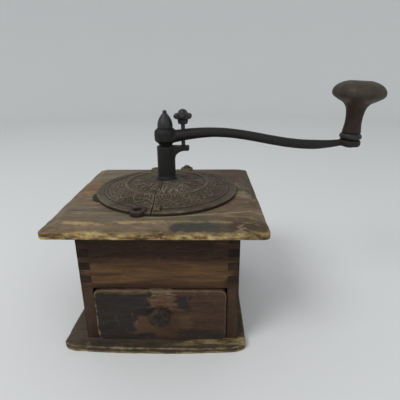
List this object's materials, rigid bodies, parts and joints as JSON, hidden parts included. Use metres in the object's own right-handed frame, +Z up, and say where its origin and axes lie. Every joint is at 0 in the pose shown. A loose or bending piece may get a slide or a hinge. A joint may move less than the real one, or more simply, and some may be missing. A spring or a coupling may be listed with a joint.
{
  "type": "coffee grinder",
  "caption": "Box coffee grinder with a drawer, a domed iron plate with a swinging half lid, and an S-bent crank that turns a cone burr.",
  "frame": {"origin": "on the floor under the middle of the case, on the underside of the base board", "axes": "+Z up, +X to the right of the drawer front, the way the crank points at rest, +Y to the back"},
  "size_m": [0.2953, 0.1826, 0.2333],
  "materials": {
    "wood_dark": "oiled, dark with age",
    "wood_case": "oiled, worn",
    "wood_top": "worn bare in places",
    "wood_base": "worn, pale front edge",
    "wood_drawer": "bare, aged",
    "wood_front": "stained, worn",
    "wood_knob": "dark, worn",
    "wood_handle": "oiled, handled",
    "iron_plate": "rusty brown",
    "iron_lid": "rusty brown",
    "iron_dark": "dark, dry",
    "iron_bowl": "dark casting",
    "burr_iron": "machined, worn",
    "steel_dark": "dark",
    "screw_steel": "dark, slightly rusty"
  },
  "bodies": {
    "case": {"base_board": "wood_base", "left_side": "wood_dark", "right_side": "wood_dark", "front_board": "wood_case", "back_board": "wood_case", "top_board": "wood_top", "corner_blocks": "wood_drawer", "block_screws": "screw_steel", "base_nails": "screw_steel", "fixed_plate": "iron_plate", "lid_pivot_screw": "screw_steel", "plate_screw": "screw_steel", "plate_bolts": "screw_steel", "hopper_bowl": "iron_bowl", "bowl_screws": "screw_steel", "burr_ring": "burr_iron", "ring_screws": "screw_steel", "bridge_bar": "iron_bowl", "bridge_screws": "screw_steel"},
    "drawer": {"drawer_front": "wood_front", "drawer_left": "wood_drawer", "drawer_right": "wood_drawer", "drawer_back": "wood_drawer", "drawer_bottom": "wood_drawer", "drawer_knob": "wood_knob", "knob_screw": "screw_steel", "drawer_nails": "screw_steel"},
    "lid": {"swing_lid": "iron_lid"},
    "column": {"column_sleeve": "iron_dark"},
    "crank": {"spindle": "steel_dark", "runner_burr": "burr_iron", "runner_pin": "screw_steel", "crank_arm": "iron_dark", "acorn_nut": "iron_dark", "handle_pin": "steel_dark"},
    "thumb_screw": {"thumb_screw": "iron_dark"},
    "handle": {"handle_knob": "wood_handle", "handle_ferrule": "steel_dark"}
  },
  "joints": [
    {"name": "crank_turn", "type": "hinge", "parent": "case", "child": "column", "pos_m": [0.0023, 0.0005, 0.1417], "axis": [0, 0, 1], "continuous": true},
    {"name": "grind_adjust", "type": "slide", "parent": "column", "child": "crank", "axis": [0, 0, 1], "range_m": [0, 0.002]},
    {"name": "thumb_screw_turn", "type": "hinge", "parent": "column", "child": "thumb_screw", "pos_m": [0.0193, 0.0005, 0.1743], "axis": [0, 0, 1], "range_deg": [-720, 0]},
    {"name": "handle_spin", "type": "hinge", "parent": "crank", "child": "handle", "pos_m": [0.1778, 0.0005, 0.17657], "axis": [0.0576, 0, 0.9983], "continuous": true},
    {"name": "lid_swing", "type": "hinge", "parent": "case", "child": "lid", "pos_m": [0.01841, 0.06811, 0.132], "axis": [0, 0, 1], "range_deg": [0, 95]},
    {"name": "drawer_slide", "type": "slide", "parent": "case", "child": "drawer", "axis": [0, -1, 0], "range_m": [0, 0.1]}
  ],
  "couplings": [
    {"joint": "thumb_screw_turn", "follows": "grind_adjust", "rad_per_m": -6283.2}
  ]
}
